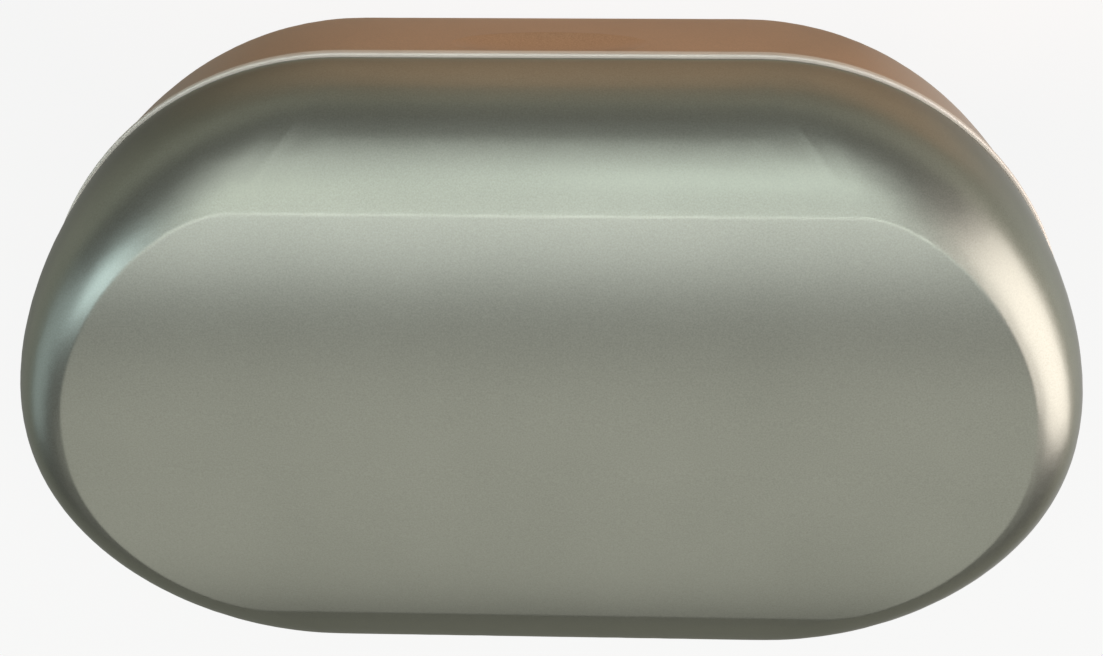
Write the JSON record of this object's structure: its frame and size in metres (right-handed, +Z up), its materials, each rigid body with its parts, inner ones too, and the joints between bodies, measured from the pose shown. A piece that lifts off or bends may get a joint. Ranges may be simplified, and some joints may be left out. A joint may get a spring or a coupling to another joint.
{
  "type": "hearing aid charging case",
  "caption": "Rounded clamshell charging case with a hinged arched lid, wells with sprung contacts for a pair of behind-the-ear hearing aids, and a push button.",
  "frame": {"origin": "centre of the footprint, on the plane that the feet stand on", "axes": "+Z up, +X along the case to the user's right, -Y towards the opening edge, +Y to the hinge"},
  "size_m": [0.098, 0.0612, 0.0374],
  "materials": {
    "lid_paint": "satin metallic paint, sage champagne",
    "base_paint": "satin metallic paint, copper",
    "trim": "satin silver plating",
    "deck_plastic": "fine textured moulding",
    "liner_plastic": "fine textured moulding",
    "insert_left_rubber": "soft touch, blue for left",
    "insert_right_rubber": "soft touch, red for right",
    "pad_rubber": "soft touch",
    "foot_rubber": "matte",
    "magnet": "nickel plated",
    "hinge_steel": "satin",
    "screw_steel": "black oxide",
    "spring_steel": "drawn wire",
    "contact_gold": "gold plated",
    "contact_plastic": "moulded",
    "board": "solder mask",
    "chip": "moulded package",
    "led": "clear package",
    "light_pipe": "clear",
    "cell": "laminate pouch",
    "foam": "foam tape",
    "lead_black": "insulation",
    "lead_red": "insulation",
    "socket_steel": "stamped",
    "socket_tongue": "moulded",
    "button_plastic": "satin",
    "stem_plastic": "moulded"
  },
  "bodies": {
    "base": {"base_shell": "base_paint", "rim_trim": "trim", "deck": "deck_plastic", "insert_left": "insert_left_rubber", "insert_right": "insert_right_rubber", "contact_block_left": "contact_plastic", "contact_block_right": "contact_plastic", "contact_springs_left": "spring_steel", "contact_springs_right": "spring_steel", "main_board": "board", "board_chips": "chip", "board_header": "contact_plastic", "board_screws": "screw_steel", "button_board": "board", "button_board_screws": "screw_steel", "leds": "led", "light_pipes": "light_pipe", "lid_sensor": "chip", "switch_body": "contact_plastic", "battery": "cell", "battery_pad": "foam", "battery_plug": "contact_plastic", "battery_lead_minus": "lead_black", "battery_lead_plus": "lead_red", "usb_socket": "socket_steel", "usb_tongue": "socket_tongue", "base_magnets": "magnet", "base_hinge_leaf": "hinge_steel", "base_hinge_screws": "screw_steel", "hinge_pin": "hinge_steel", "case_screws": "screw_steel", "feet": "foot_rubber"},
    "lid": {"lid_shell": "lid_paint", "lid_liner": "liner_plastic", "lid_pad_left": "pad_rubber", "lid_pad_right": "pad_rubber", "lid_magnets": "magnet", "lid_sensor_magnet": "magnet", "lid_hinge_leaf": "hinge_steel", "lid_hinge_screws": "screw_steel"},
    "button": {"status_button": "button_plastic", "switch_stem": "stem_plastic"},
    "plungers_left": {"contact_plungers_left": "contact_gold"},
    "plungers_right": {"contact_plungers_right": "contact_gold"}
  },
  "joints": [
    {"name": "lid_hinge", "type": "hinge", "parent": "base", "child": "lid", "pos_m": [0, 0.0287, 0.02086], "axis": [-1, 0, 0], "range_deg": [0, 92]},
    {"name": "button_press", "type": "slide", "parent": "base", "child": "button", "axis": [0, 0, -1], "range_m": [0, 0.0005], "stiffness_N_per_m": 1500, "springref_m": -0.0002},
    {"name": "contacts_left", "type": "slide", "parent": "base", "child": "plungers_left", "axis": [0, 0, -1], "range_m": [0, 0.0008], "stiffness_N_per_m": 400, "springref_m": -0.0004, "deforming": ["contact_springs_left"]},
    {"name": "contacts_right", "type": "slide", "parent": "base", "child": "plungers_right", "axis": [0, 0, -1], "range_m": [0, 0.0008], "stiffness_N_per_m": 400, "springref_m": -0.0004, "deforming": ["contact_springs_right"]}
  ]
}
